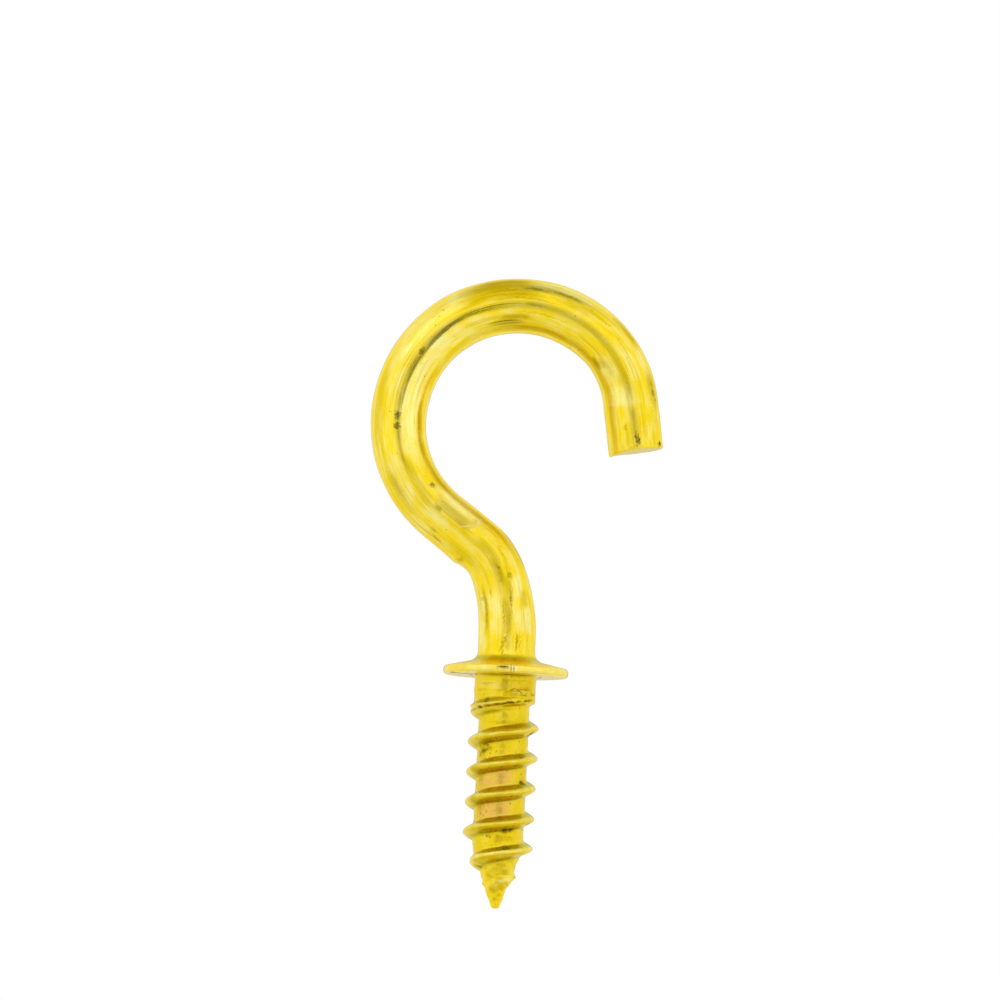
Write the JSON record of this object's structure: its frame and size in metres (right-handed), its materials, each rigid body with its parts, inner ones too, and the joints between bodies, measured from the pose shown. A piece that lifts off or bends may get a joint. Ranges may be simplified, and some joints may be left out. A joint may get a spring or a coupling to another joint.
{
  "type": "cup hook",
  "caption": "Brass cup hook bent from one round wire: open round hook, pressed collar that seats on the wood, and a tapered coarse wood screw.",
  "frame": {"origin": "centre of the collar's flat underside, on the screw's axis", "axes": "+Z along the screw's axis from the point towards the hook, +X from the screw's axis towards the hook's open side, +Y square to the plane of the hook"},
  "size_m": [0.0163, 0.007, 0.035],
  "materials": {
    "brass": "bright drawn wire with light tarnish"
  },
  "bodies": {
    "root": {"cup_hook": "brass"}
  },
  "joints": []
}
